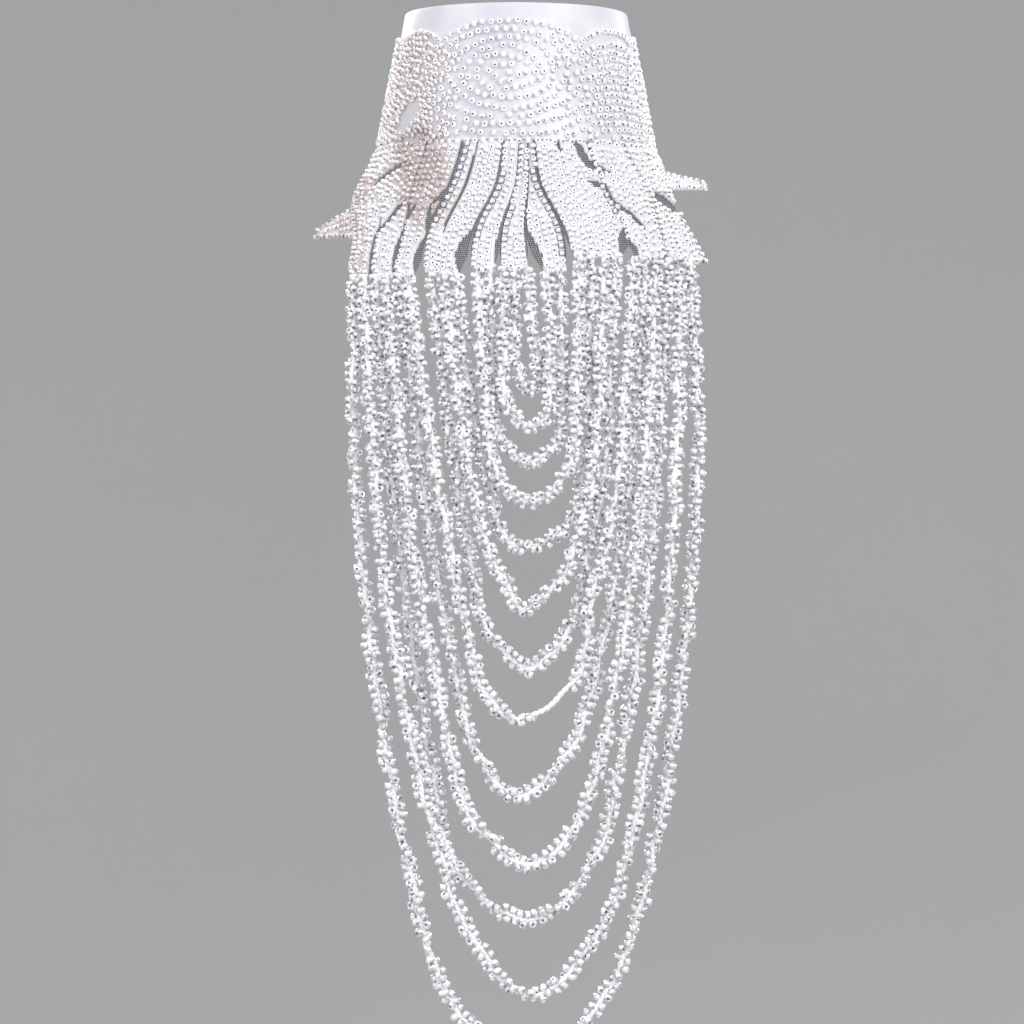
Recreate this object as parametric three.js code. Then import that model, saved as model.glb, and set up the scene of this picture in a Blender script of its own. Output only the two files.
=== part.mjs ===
// A high choker: a conical satin collar covered with bead scrolls, a net yoke with beaded tongues
// below it, and thirteen nested strands of glass beads that hang from the tongues in festoons.
//
// Millimetres. Z is the axis of the neck and points up, the wearer faces -Y, and Z = 0 is the
// lower edge of the satin collar.
import * as THREE from "three";

// ---------------------------------------------------------------- driving sizes

const GAP = 0.35; // air between neighbouring pieces
const BAND = { height: 60, topRadius: 48.8, footRadius: 60.2, wall: 1.6, slitTurn: 0.6 };
const CLASP = { turn: 3.2, height: 46, thickness: 2.2 };
const APPLIQUE = { thickness: 1.9, foot: 0.4, leastHeight: 3, columns: 76, rows: 3 };
const NET = { thickness: 1, drop: 41, columns: 34, rows: 5 };
const TONGUE = { thickness: 2.1, lift: 0.6, columnTurn: 5, rows: 8 };
const WING = { rootTurn: 0.6, columns: 7, rows: 3 };
const STRAND = { diameter: 4.4, sides: 8, stepInDiameters: 2.8, extraSteps: 4, stub: 3 };

// The surface that the yoke and the strands lie on is an ellipse at each level. Its half width
// and its depth in front of the neck's axis grow as it drops over the shoulders and the chest,
// and below the bust both stay as they are, because the strands hang free there.
const SKIN = { neck: 60, shoulderDrop: 60, shoulderPower: 1.25, chestDrop: 150 };
const SHOULDER = { halfWidth: 43, depth: 23 }; // growth over the shoulders
const CHEST = { halfWidth: 95, depth: 36 }; // growth from there to the bust

// Neighbouring strands lie one in front of the other, and part as they leave the tongues.
const LAYER = { top: 0.6, free: 2.6, partingDrop: 25 };

// The scallops of the applique's upper edge, as arcs of an ellipse. Turns are in degrees from
// the front, positive to +X.
const SCALLOPS = [
  { turn: -84, halfTurn: 34, foot: 1, rise: 49 },
  { turn: -54, halfTurn: 17, foot: 42, rise: 8.5 },
  { turn: -3, halfTurn: 34.5, foot: 42, rise: 11.5 },
  { turn: 54, halfTurn: 22, foot: 42, rise: 9 },
  { turn: 84, halfTurn: 34, foot: 1, rise: 49 },
];

// The two edges of each tongue, in degrees round the yoke, at its root, at 18 mm and 38 mm down,
// and at its tip.
const TONGUE_LEVELS = [0, 18, 38, 60];
const TONGUES = [
  { left: [-88, -77, -54, -43], right: [-55, -51, -44, -36.6], tip: 60.5 },
  { left: [-54.4, -50.4, -43.4, -36], right: [-39, -38.6, -34.4, -30.6], tip: 60.5 },
  { left: [-38.4, -38, -33.4, -30], right: [-22.6, -24.2, -26.4, -24], tip: 60.5 },
  { left: [-20.8, -22.6, -25.2, -22.2], right: [-5.6, -7, -12.4, -13], tip: 60 },
  { left: [-4.6, -6.2, -11.2, -11], right: [1.2, -0.2, -4.6, -4.6], tip: 58 },
  { left: [2.2, 0.5, -3.8, -3.6], right: [4.4, 3.6, 2.2, 3.2], tip: 58 },
  { left: [5, 4.3, 3, 6.2], right: [6.6, 7.6, 12.6, 11.8], tip: 59 },
  { left: [7.3, 8.4, 13.8, 13.6], right: [29.6, 31.6, 32.6, 26.6], tip: 51.5 },
  { left: [30.4, 32.4, 33.4, 29.6], right: [49, 51.6, 45.6, 38.4], tip: 53 },
  { left: [49.8, 52.4, 46.4, 39.2], right: [88, 69, 62, 56.6], tip: 53 },
];

// The two points over the shoulders. Each is rooted along the outer edge of a tongue, between
// two drops, and runs out to a tip: how far across it is, how far in front of the axis, and the
// drops of its two edges.
const WINGS = [
  {
    name: "wing_tip_left",
    tongue: 1,
    root: { upper: 26, lower: 41 },
    tip: { x: -86.5, depth: 22, upper: 36.4, lower: 39.6 },
  },
  {
    name: "wing_tip_right",
    tongue: 10,
    root: { upper: 9, lower: 18.5 },
    tip: { x: 83.5, depth: 8, upper: 14.6, lower: 17.2 },
  },
];

// Where each strand runs, across from the middle. A leg is given at its top and at 3/4, 1/2,
// 1/4 and 1/12 of the height above the strand's lowest point; from and to are the numbers of
// the tongues it hangs from.
const LEG_HEIGHTS = [1, 3 / 4, 1 / 2, 1 / 4, 1 / 12];
const STRANDS = [
  { from: 6, low: [5.8, -108],
    left: [-1, -1, -1, -0.5, 2], right: [4.8, 5.6, 7.2, 9.6, 8.6] },
  { from: 6, to: 7, low: [5.8, -122.5],
    left: [-5.6, -5.4, -5.4, -5, -2], right: [13.2, 13.7, 14, 14, 12.4] },
  { from: 5, to: 7, low: [5.8, -138],
    left: [-11, -10.2, -10, -8.5, -4.5], right: [18.2, 18.9, 19.2, 18.8, 15.4] },
  { from: 5, to: 8, low: [3.8, -154.5],
    left: [-16, -14.6, -13, -10.6, -6], right: [27, 26, 25.2, 24, 18] },
  { from: 4, to: 8, low: [2, -173],
    left: [-25.2, -21.8, -18, -11.4, -7.2], right: [32, 31, 30.2, 27.4, 22.4] },
  { from: 4, to: 8, low: [3.4, -198],
    left: [-30.2, -26, -21, -14.4, -5.4], right: [37, 35.4, 33.5, 27.2, 18] },
  { from: 4, to: 8, low: [5.8, -222.5],
    left: [-35.2, -30.4, -25, -18.2, -10.6], right: [42, 39.8, 37.2, 28.6, 20.8] },
  { from: 3, to: 9, low: [-1.2, -243.5],
    left: [-45, -38.2, -31, -22, -14.4], right: [49.4, 45.6, 41.6, 30.6, 24] },
  { from: 3, to: 9, low: [0.4, -275.5],
    left: [-49.4, -42.6, -35.4, -25.6, -16], right: [54.6, 50.4, 43.8, 33.8, 21.6] },
  { from: 2, to: 10, low: [6.5, -303.5],
    left: [-54.4, -48.6, -41, -29.6, -18.6], right: [59.2, 55, 48.4, 38.2, 26.6] },
  { from: 2, to: 10, low: [5, -326.5],
    left: [-59.2, -53.4, -45.6, -35.4, -25], right: [64.2, 60, 53.4, 43, 31] },
  { from: 1, to: 10, low: [6.2, -357],
    left: [-64.2, -59, -50.6, -35.6, -18.6], right: [69.4, 66.6, 61.4, 49.8, 33.6] },
  { from: 1, to: 10, low: [5.8, -386],
    left: [-69, -66.8, -58.4, -44.2, -27.2], right: [74.4, 75.6, 68.6, 55.4, 36] },
];

// ---------------------------------------------------------------- materials

const finish = (color, roughness, metalness = 0) =>
  new THREE.MeshStandardMaterial({ color, roughness, metalness });
const satin = finish(0xf1eff3, 0.4);
const glassBeads = finish(0xe9e8ee, 0.15);
const tulle = finish(0xb9b9c2, 0.8);
const claspMetal = finish(0xc8c8cc, 0.3, 1);

// ---------------------------------------------------------------- surfaces

const radians = THREE.MathUtils.degToRad;
const between = (value, low, high) => Math.min(Math.max(value, low), high);

// The outside of the satin, at a height over the collar's lower edge.
const bandRadius = (z) =>
  THREE.MathUtils.lerp(BAND.footRadius, BAND.topRadius, z / BAND.height);

// A point at a turn round the neck's axis, in degrees from the front.
const round = (turn, radius, z) =>
  new THREE.Vector3(radius * Math.sin(radians(turn)), -radius * Math.cos(radians(turn)), z);

// The ellipse that the yoke or the strands follow at a drop below the collar.
function skinAt(drop) {
  const shoulder = between(drop / SKIN.shoulderDrop, 0, 1) ** SKIN.shoulderPower;
  const down = between((drop - SKIN.shoulderDrop) / SKIN.chestDrop, 0, 1);
  const chest = down * (2 - down);
  return {
    halfWidth: SKIN.neck + SHOULDER.halfWidth * shoulder + CHEST.halfWidth * chest,
    depth: SKIN.neck + SHOULDER.depth * shoulder + CHEST.depth * chest,
  };
}

// A point on that ellipse, lifted off it. The turn is the ellipse's own.
function onSkin(turn, drop, lift) {
  const { halfWidth, depth } = skinAt(drop);
  const x = (halfWidth + lift) * Math.sin(radians(turn));
  const y = -(depth + lift) * Math.cos(radians(turn));
  return new THREE.Vector3(x, y, -drop);
}

// How far in front of the axis the ellipse is, at a distance across.
function skinDepth(x, drop) {
  const { halfWidth, depth } = skinAt(drop);
  return depth * Math.sqrt(1 - (x / halfWidth) ** 2);
}

// The highest scallop's edge at a turn.
function scallopHeight(turn) {
  const heights = SCALLOPS.map((arc) => {
    const across = (turn - arc.turn) / arc.halfTurn;
    return Math.abs(across) < 1 ? arc.foot + arc.rise * Math.sqrt(1 - across ** 2) : 0;
  });
  return Math.max(APPLIQUE.leastHeight, ...heights);
}

// A smooth value through one number for each level, as a cubic between two levels whose slopes
// there come from the levels on either side.
function throughLevels(levels, values, at) {
  const last = levels.length - 1;
  const above = levels.findIndex((level) => level > at);
  const i = above < 0 ? last - 1 : Math.max(above - 1, 0);
  const slope = (k) => {
    const [before, after] = [Math.max(k - 1, 0), Math.min(k + 1, last)];
    return (values[after] - values[before]) / (levels[after] - levels[before]);
  };
  const width = levels[i + 1] - levels[i];
  const t = between((at - levels[i]) / width, 0, 1);
  const ends = (1 + 2 * t) * (1 - t) ** 2 * values[i] + t ** 2 * (3 - 2 * t) * values[i + 1];
  return ends + width * t * (1 - t) * ((1 - t) * slope(i) - t * slope(i + 1));
}

// ---------------------------------------------------------------- solids

const model = new THREE.Group();

function addPiece(name, geometry, material) {
  const piece = new THREE.Mesh(geometry, material);
  piece.name = name;
  model.add(piece);
}

// A flat block bent into a curved sheet. The place of each point comes from how far along the
// turn, up the sheet and out through its thickness it is, each from 0 to 1.
function bentSheet(columns, rows, place) {
  const block = new THREE.BoxGeometry(1, 1, 1, columns, rows, 1);
  const corner = block.attributes.position;
  for (let i = 0; i < corner.count; i += 1) {
    const spot = place(corner.getX(i) + 0.5, corner.getY(i) + 0.5, corner.getZ(i) + 0.5);
    corner.setXYZ(i, spot.x, spot.y, spot.z);
  }
  block.computeVertexNormals();
  return block;
}

// The collar: a cone of satin all the way round, open by a narrow slit at the back.
function satinBand() {
  const turnHalf = 180 - BAND.slitTurn;
  return bentSheet(72, 2, (along, up, out) => {
    const z = up * BAND.height;
    return round((2 * along - 1) * turnHalf, bandRadius(z) - (1 - out) * BAND.wall, z);
  });
}

// A plain bar over the slit.
function backClasp() {
  const foot = (BAND.height - CLASP.height) / 2;
  return bentSheet(2, 1, (along, up, out) => {
    const z = foot + up * CLASP.height;
    const radius = bandRadius(z) + GAP + out * CLASP.thickness;
    return round(180 + (2 * along - 1) * CLASP.turn, radius, z);
  });
}

// The bead embroidery on the collar, one paved sheet under the scallops.
function scrollApplique() {
  const turns = SCALLOPS.flatMap((arc) => [arc.turn - arc.halfTurn, arc.turn + arc.halfTurn]);
  const [first, last] = [Math.min(...turns), Math.max(...turns)];
  return bentSheet(APPLIQUE.columns, APPLIQUE.rows, (along, up, out) => {
    const turn = THREE.MathUtils.lerp(first, last, along);
    const z = THREE.MathUtils.lerp(APPLIQUE.foot, scallopHeight(turn), up);
    return round(turn, bandRadius(z) + GAP + out * APPLIQUE.thickness, z);
  });
}

// The turn at a drop below the collar, part of the way from one tongue's edge to another's.
const turnBetween = (left, right, drop, along) =>
  THREE.MathUtils.lerp(
    throughLevels(TONGUE_LEVELS, left, drop),
    throughLevels(TONGUE_LEVELS, right, drop),
    along,
  );

// The net under the tongues, from the first one's outer edge to the last one's. Its upper edge
// lies against the lower edge of the collar.
function netYoke() {
  const { left } = TONGUES[0];
  const { right } = TONGUES.at(-1);
  return bentSheet(NET.columns, NET.rows, (along, up, out) => {
    const drop = THREE.MathUtils.lerp(NET.drop, GAP, up);
    return onSkin(turnBetween(left, right, drop, along), drop, (out - 1) * NET.thickness);
  });
}

// One tongue of paved beads, outside the net.
function tongue({ left, right, tip }) {
  const columns = Math.ceil((right[0] - left[0]) / TONGUE.columnTurn) + 1;
  return bentSheet(columns, TONGUE.rows, (along, up, out) => {
    const drop = THREE.MathUtils.lerp(tip, GAP, up);
    const turn = turnBetween(left, right, drop, along);
    return onSkin(turn, drop, TONGUE.lift + out * TONGUE.thickness);
  });
}

// One point over a shoulder, tapering from its root to its tip.
function wing({ tongue: number, root, tip }) {
  const side = Math.sign(tip.x);
  const edge = side < 0 ? TONGUES[number - 1].left : TONGUES[number - 1].right;
  const away = new THREE.Vector3(side, -1, 0).normalize();
  return bentSheet(WING.columns, WING.rows, (along, up, out) => {
    const rootDrop = THREE.MathUtils.lerp(root.lower, root.upper, up);
    const tipDrop = THREE.MathUtils.lerp(tip.lower, tip.upper, up);
    const turn = throughLevels(TONGUE_LEVELS, edge, rootDrop) + side * WING.rootTurn;
    const start = onSkin(turn, rootDrop, TONGUE.lift + out * TONGUE.thickness);
    const end = new THREE.Vector3(tip.x, -tip.depth, -tipDrop);
    end.addScaledVector(away, out * TONGUE.thickness);
    return start.lerp(end, side < 0 ? 1 - along : along);
  });
}

// The middle line of a strand: a smooth curve through its row of the table, laid on the chest.
// Each end comes straight down from its tongue for a short stub.
function strandRoute({ from, to = from, left, right, low }, side) {
  const [lowX, lowZ] = low;
  const leg = (xs, tip) => {
    const top = -(tip + GAP + STRAND.stub);
    return LEG_HEIGHTS.map((height, i) => new THREE.Vector3(xs[i], 0, lowZ + (top - lowZ) * height));
  };
  const down = leg(left, TONGUES[from - 1].tip);
  const up = leg(right, TONGUES[to - 1].tip).reverse();
  const flat = new THREE.CatmullRomCurve3([...down, new THREE.Vector3(lowX, 0, lowZ), ...up]);
  const topZ = Math.min(down[0].z, up.at(-1).z);
  const pitch = STRAND.stepInDiameters * STRAND.diameter;
  const steps = STRAND.extraSteps + Math.ceil(flat.getLength() / pitch);
  const lift = TONGUE.lift + TONGUE.thickness / 2;
  const spots = flat.getSpacedPoints(2 * steps).map((spot) => {
    const parted = THREE.MathUtils.smoothstep(topZ - spot.z, 0, LAYER.partingDrop);
    const layer = side * THREE.MathUtils.lerp(LAYER.top, LAYER.free, parted);
    return new THREE.Vector3(spot.x, -(skinDepth(spot.x, -spot.z) + lift + layer), spot.z);
  });
  const stub = new THREE.Vector3(0, 0, STRAND.stub);
  const ends = [spots[0].clone().add(stub), spots.at(-1).clone().add(stub)];
  return { route: new THREE.CatmullRomCurve3([ends[0], ...spots, ends[1]]), steps };
}

// One strand of beads, as the tube that its core and its beads fill.
function strand(row, side) {
  const { route, steps } = strandRoute(row, side);
  const section = new THREE.Shape().absarc(0, 0, STRAND.diameter / 2, 0, 2 * Math.PI);
  return new THREE.ExtrudeGeometry(section, {
    extrudePath: route,
    steps,
    curveSegments: STRAND.sides / 2,
  });
}

// ---------------------------------------------------------------- the choker

const numbered = (word, i) => `${word}_${String(i + 1).padStart(2, "0")}`;

addPiece("satin_band", satinBand(), satin);
addPiece("back_clasp", backClasp(), claspMetal);
addPiece("scroll_applique", scrollApplique(), glassBeads);
addPiece("net_yoke", netYoke(), tulle);
TONGUES.forEach((row, i) => addPiece(numbered("tongue", i), tongue(row), glassBeads));
WINGS.forEach((row) => addPiece(row.name, wing(row), glassBeads));
STRANDS.forEach((row, i) => addPiece(numbered("strand", i), strand(row, i % 2 ? 1 : -1), glassBeads));

export default model;
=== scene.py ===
"""A tall satin collar covered with bead scrolls, a net yoke with beaded tongues below it, and
thirteen nested strands of silver-lined glass beads. Sizes are in millimetres until a mesh is
made; Z is the axis of the neck and the wearer faces -Y."""

import math
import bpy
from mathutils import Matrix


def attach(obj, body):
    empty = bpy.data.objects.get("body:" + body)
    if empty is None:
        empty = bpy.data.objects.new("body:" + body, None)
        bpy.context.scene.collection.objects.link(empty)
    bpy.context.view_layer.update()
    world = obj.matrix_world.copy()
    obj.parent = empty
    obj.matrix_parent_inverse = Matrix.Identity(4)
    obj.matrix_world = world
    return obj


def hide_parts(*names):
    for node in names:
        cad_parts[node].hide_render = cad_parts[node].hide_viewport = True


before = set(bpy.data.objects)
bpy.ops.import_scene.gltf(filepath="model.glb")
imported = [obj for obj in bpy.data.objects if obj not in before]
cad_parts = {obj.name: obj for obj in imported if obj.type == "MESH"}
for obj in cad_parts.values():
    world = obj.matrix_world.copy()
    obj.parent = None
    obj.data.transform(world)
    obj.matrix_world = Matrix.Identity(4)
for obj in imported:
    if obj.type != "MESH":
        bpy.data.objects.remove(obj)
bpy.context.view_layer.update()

import zlib

import bmesh
import bpy
import numpy as np
from mathutils import Matrix, Vector

MM = 0.001

# ------------------------------------------------------------------ sizes, as in the part

BAND = {"height": 60, "top_radius": 48.8, "foot_radius": 60.2, "wall": 1.6, "slit_turn": 0.6}
CLASP = {"turn": 3.2, "height": 46, "gap": 0.35, "thickness": 2.2}
TONGUE_LIFT, TONGUE_THICKNESS = 0.6, 2.1
STUB = 3
GAP = 0.35

# The skin that the yoke and the strands lie on: its half width and depth at the neck, and how
# much each grows over the shoulders and over the chest.
NECK = np.array([60, 60])
SHOULDER = {"grows": np.array([43, 23]), "drop": 60, "power": 1.25}
CHEST = {"grows": np.array([95, 36]), "drop": 150}

# How far a strand lies in front of or behind its neighbours, at its tongue and once parted.
LAYER = {"top": 0.6, "free": 2.6, "parting_drop": 25}

# The edges of each tongue in degrees round the yoke, at four drops, and the drop of its tip.
TONGUE_LEVELS = [0, 18, 38, 60]
TONGUES = [
    {"left": [-88, -77, -54, -43], "right": [-55, -51, -44, -36.6], "tip": 60.5},
    {"left": [-54.4, -50.4, -43.4, -36], "right": [-39, -38.6, -34.4, -30.6], "tip": 60.5},
    {"left": [-38.4, -38, -33.4, -30], "right": [-22.6, -24.2, -26.4, -24], "tip": 60.5},
    {"left": [-20.8, -22.6, -25.2, -22.2], "right": [-5.6, -7, -12.4, -13], "tip": 60},
    {"left": [-4.6, -6.2, -11.2, -11], "right": [1.2, -0.2, -4.6, -4.6], "tip": 58},
    {"left": [2.2, 0.5, -3.8, -3.6], "right": [4.4, 3.6, 2.2, 3.2], "tip": 58},
    {"left": [5, 4.3, 3, 6.2], "right": [6.6, 7.6, 12.6, 11.8], "tip": 59},
    {"left": [7.3, 8.4, 13.8, 13.6], "right": [29.6, 31.6, 32.6, 26.6], "tip": 51.5},
    {"left": [30.4, 32.4, 33.4, 29.6], "right": [49, 51.6, 45.6, 38.4], "tip": 53},
    {"left": [49.8, 52.4, 46.4, 39.2], "right": [88, 69, 62, 56.6], "tip": 53},
]

WINGS = [
    {"name": "wing_tip_left", "tongue": 1, "root": (26, 41), "tip": (-86.5, 22, 36.4, 39.6)},
    {"name": "wing_tip_right", "tongue": 10, "root": (9, 18.5), "tip": (83.5, 8, 14.6, 17.2)},
]

# Where each strand runs, across from the middle: each leg at its top and at 3/4, 1/2, 1/4 and
# 1/12 of its height, and its lowest point. The numbers after it are the tongues it hangs from.
LEG_HEIGHTS = [1, 3 / 4, 1 / 2, 1 / 4, 1 / 12]
STRANDS = [
    {"tongues": (6, 6), "low": (5.8, -108),
     "left": [-1, -1, -1, -0.5, 2], "right": [4.8, 5.6, 7.2, 9.6, 8.6]},
    {"tongues": (6, 7), "low": (5.8, -122.5),
     "left": [-5.6, -5.4, -5.4, -5, -2], "right": [13.2, 13.7, 14, 14, 12.4]},
    {"tongues": (5, 7), "low": (5.8, -138),
     "left": [-11, -10.2, -10, -8.5, -4.5], "right": [18.2, 18.9, 19.2, 18.8, 15.4]},
    {"tongues": (5, 8), "low": (3.8, -154.5),
     "left": [-16, -14.6, -13, -10.6, -6], "right": [27, 26, 25.2, 24, 18]},
    {"tongues": (4, 8), "low": (2, -173),
     "left": [-25.2, -21.8, -18, -11.4, -7.2], "right": [32, 31, 30.2, 27.4, 22.4]},
    {"tongues": (4, 8), "low": (3.4, -198),
     "left": [-30.2, -26, -21, -14.4, -5.4], "right": [37, 35.4, 33.5, 27.2, 18]},
    {"tongues": (4, 8), "low": (5.8, -222.5),
     "left": [-35.2, -30.4, -25, -18.2, -10.6], "right": [42, 39.8, 37.2, 28.6, 20.8]},
    {"tongues": (3, 9), "low": (-1.2, -243.5),
     "left": [-45, -38.2, -31, -22, -14.4], "right": [49.4, 45.6, 41.6, 30.6, 24]},
    {"tongues": (3, 9), "low": (0.4, -275.5),
     "left": [-49.4, -42.6, -35.4, -25.6, -16], "right": [54.6, 50.4, 43.8, 33.8, 21.6]},
    {"tongues": (2, 10), "low": (6.5, -303.5),
     "left": [-54.4, -48.6, -41, -29.6, -18.6], "right": [59.2, 55, 48.4, 38.2, 26.6]},
    {"tongues": (2, 10), "low": (5, -326.5),
     "left": [-59.2, -53.4, -45.6, -35.4, -25], "right": [64.2, 60, 53.4, 43, 31]},
    {"tongues": (1, 10), "low": (6.2, -357),
     "left": [-64.2, -59, -50.6, -35.6, -18.6], "right": [69.4, 66.6, 61.4, 49.8, 33.6]},
    {"tongues": (1, 10), "low": (5.8, -386),
     "left": [-69, -66.8, -58.4, -44.2, -27.2], "right": [74.4, 75.6, 68.6, 55.4, 36]},
]

# ------------------------------------------------------------------ camera, light and floor

CAMERA = {"across": -1.76, "away": 1840, "up": -158.4, "lens": 147}

# Each softbox: where it hangs in metres, its width and height, its power and its tint.
SOFTBOXES = [
    {"at": (1.25, -1.5, 0.75), "size": (0.6, 0.8), "watts": 19, "tint": (1, 0.99, 0.97)},
    {"at": (-1.45, -1.3, 0.1), "size": (0.4, 0.9), "watts": 10, "tint": (0.97, 0.97, 1)},
    {"at": (0.25, -2.1, 0.15), "size": (0.5, 0.5), "watts": 8, "tint": (0.99, 0.99, 1)},
    {"at": (-0.1, -0.3, 1.6), "size": (0.8, 0.5), "watts": 6, "tint": (1, 1, 1)},
    {"at": (-1.0, 1.5, 0.8), "size": (0.7, 0.7), "watts": 16, "tint": (1, 0.99, 0.97)},
    {"at": (1.35, 1.2, 0.2), "size": (0.4, 0.8), "watts": 10, "tint": (0.96, 0.97, 1)},
]

LIGHTS_AIM = (0, -0.05, -0.14)
SKY = {"tint": (0.97, 0.98, 1, 1), "strength": 0.85}

# The backdrop is a pale floor that curves up into a round wall, in metres, and the steps of its
# mesh up the bend and round it.
BACKDROP = {"floor": -1.25, "flat": 1.2, "bend": 3.0, "wall": 0.6, "steps_up": 24, "steps_round": 96}


def aim(thing, at):
    thing.rotation_euler = (Vector(at) - thing.location).to_track_quat("-Z", "Y").to_euler()


def make_camera():
    camera = bpy.data.objects.new("camera", bpy.data.cameras.new("camera"))
    bpy.context.scene.collection.objects.link(camera)
    camera.data.lens = CAMERA["lens"]
    camera.location = Vector((CAMERA["across"], -CAMERA["away"], CAMERA["up"])) * MM
    camera.rotation_euler = (math.pi / 2, 0, 0)
    bpy.context.scene.camera = camera


def make_lights():
    for i, box in enumerate(SOFTBOXES):
        data = bpy.data.lights.new(f"softbox_{i + 1}", "AREA")
        data.shape = "RECTANGLE"
        data.size, data.size_y = box["size"]
        data.energy = box["watts"]
        data.color = box["tint"]
        lamp = bpy.data.objects.new(data.name, data)
        bpy.context.scene.collection.objects.link(lamp)
        lamp.location = box["at"]
        lamp.visible_camera = False
        aim(lamp, LIGHTS_AIM)
    world = bpy.data.worlds.new("studio")
    bpy.context.scene.world = world
    world.use_nodes = True
    sky = world.node_tree.nodes["Background"].inputs
    sky["Color"].default_value = SKY["tint"]
    sky["Strength"].default_value = SKY["strength"]


def make_backdrop(material):
    """A floor, a quarter bend and a wall, spun round the object."""
    flat, bend, floor = BACKDROP["flat"], BACKDROP["bend"], BACKDROP["floor"]
    outline = [(0, floor), (flat, floor)]
    for angle in np.linspace(0, math.pi / 2, BACKDROP["steps_up"] + 1)[1:]:
        outline.append((flat + bend * math.sin(angle), floor + bend * (1 - math.cos(angle))))
    outline.append((flat + bend, floor + bend + BACKDROP["wall"]))
    finished(spun(outline, BACKDROP["steps_round"]), "backdrop", material)


# ------------------------------------------------------------------ shapes of the part


def dice(name):
    """A random stream of its own for each piece."""
    return np.random.default_rng(zlib.crc32(name.encode()))


def stack(*columns):
    return np.stack(np.broadcast_arrays(*columns), axis=-1).astype(float)


def unit(vectors):
    return vectors / np.linalg.norm(vectors, axis=-1, keepdims=True)


def band_radius(z):
    return BAND["foot_radius"] + (BAND["top_radius"] - BAND["foot_radius"]) * z / BAND["height"]


def round_neck(turn, radius, z):
    angle = np.radians(turn)
    return stack(radius * np.sin(angle), -radius * np.cos(angle), z)


def skin_at(drop):
    """Half width and depth of the skin at a drop below the collar."""
    drop = np.asarray(drop, float)[..., None]
    shoulder = np.clip(drop / SHOULDER["drop"], 0, 1) ** SHOULDER["power"]
    down = np.clip((drop - SHOULDER["drop"]) / CHEST["drop"], 0, 1)
    size = NECK + SHOULDER["grows"] * shoulder + CHEST["grows"] * down * (2 - down)
    return size[..., 0], size[..., 1]


def on_skin(turn, drop, lift):
    width, depth = skin_at(drop)
    angle = np.radians(turn)
    return stack((width + lift) * np.sin(angle), -(depth + lift) * np.cos(angle), -np.asarray(drop))


def skin_depth(x, drop):
    width, depth = skin_at(drop)
    return depth * np.sqrt(1 - (x / width) ** 2)


def through_levels(levels, values, at):
    """A smooth value through one number for each level."""
    levels, values, at = np.asarray(levels, float), np.asarray(values, float), np.asarray(at, float)
    last = len(levels) - 1
    i = np.clip(np.searchsorted(levels, at, side="right") - 1, 0, last - 1)
    before, after = np.clip(np.arange(last + 1) - 1, 0, last), np.clip(np.arange(last + 1) + 1, 0, last)
    slope = (values[after] - values[before]) / (levels[after] - levels[before])
    width = levels[i + 1] - levels[i]
    t = np.clip((at - levels[i]) / width, 0, 1)
    ends = (1 + 2 * t) * (1 - t) ** 2 * values[i] + t**2 * (3 - 2 * t) * values[i + 1]
    return ends + width * t * (1 - t) * ((1 - t) * slope[i] - t * slope[i + 1])


def tongue_edge(number, side, drop):
    return through_levels(TONGUE_LEVELS, TONGUES[number - 1][side], drop)


def smooth_path(points, per_span=20):
    """A centripetal Catmull-Rom curve through the points, as a fine row of points."""
    p = np.vstack([2 * points[0] - points[1], points, 2 * points[-1] - points[-2]])
    made = []
    for a, b, c, d in zip(p, p[1:], p[2:], p[3:]):
        steps = [max(np.linalg.norm(v - u), 1e-4) ** 0.5 for u, v in ((a, b), (b, c), (c, d))]
        out = ((b - a) / steps[0] - (c - a) / (steps[0] + steps[1]) + (c - b) / steps[1]) * steps[1]
        into = ((c - b) / steps[1] - (d - b) / (steps[1] + steps[2]) + (d - c) / steps[2]) * steps[1]
        t = np.arange(per_span)[:, None] / per_span
        made.append(
            b * (1 + 2 * t) * (1 - t) ** 2 + c * t**2 * (3 - 2 * t)
            + out * t * (1 - t) ** 2 - into * t**2 * (1 - t)
        )
    return np.vstack([*made, points[-1:]])


def evenly(path, step):
    """The path again, with its points a step apart, and how far along each is."""
    along = np.concatenate([[0], np.cumsum(np.linalg.norm(np.diff(path, axis=0), axis=1))])
    at = np.linspace(0, along[-1], max(2, round(along[-1] / step) + 1))
    return stack(*(np.interp(at, along, path[:, k]) for k in range(path.shape[1]))), at


# ------------------------------------------------------------------ finishes


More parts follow.
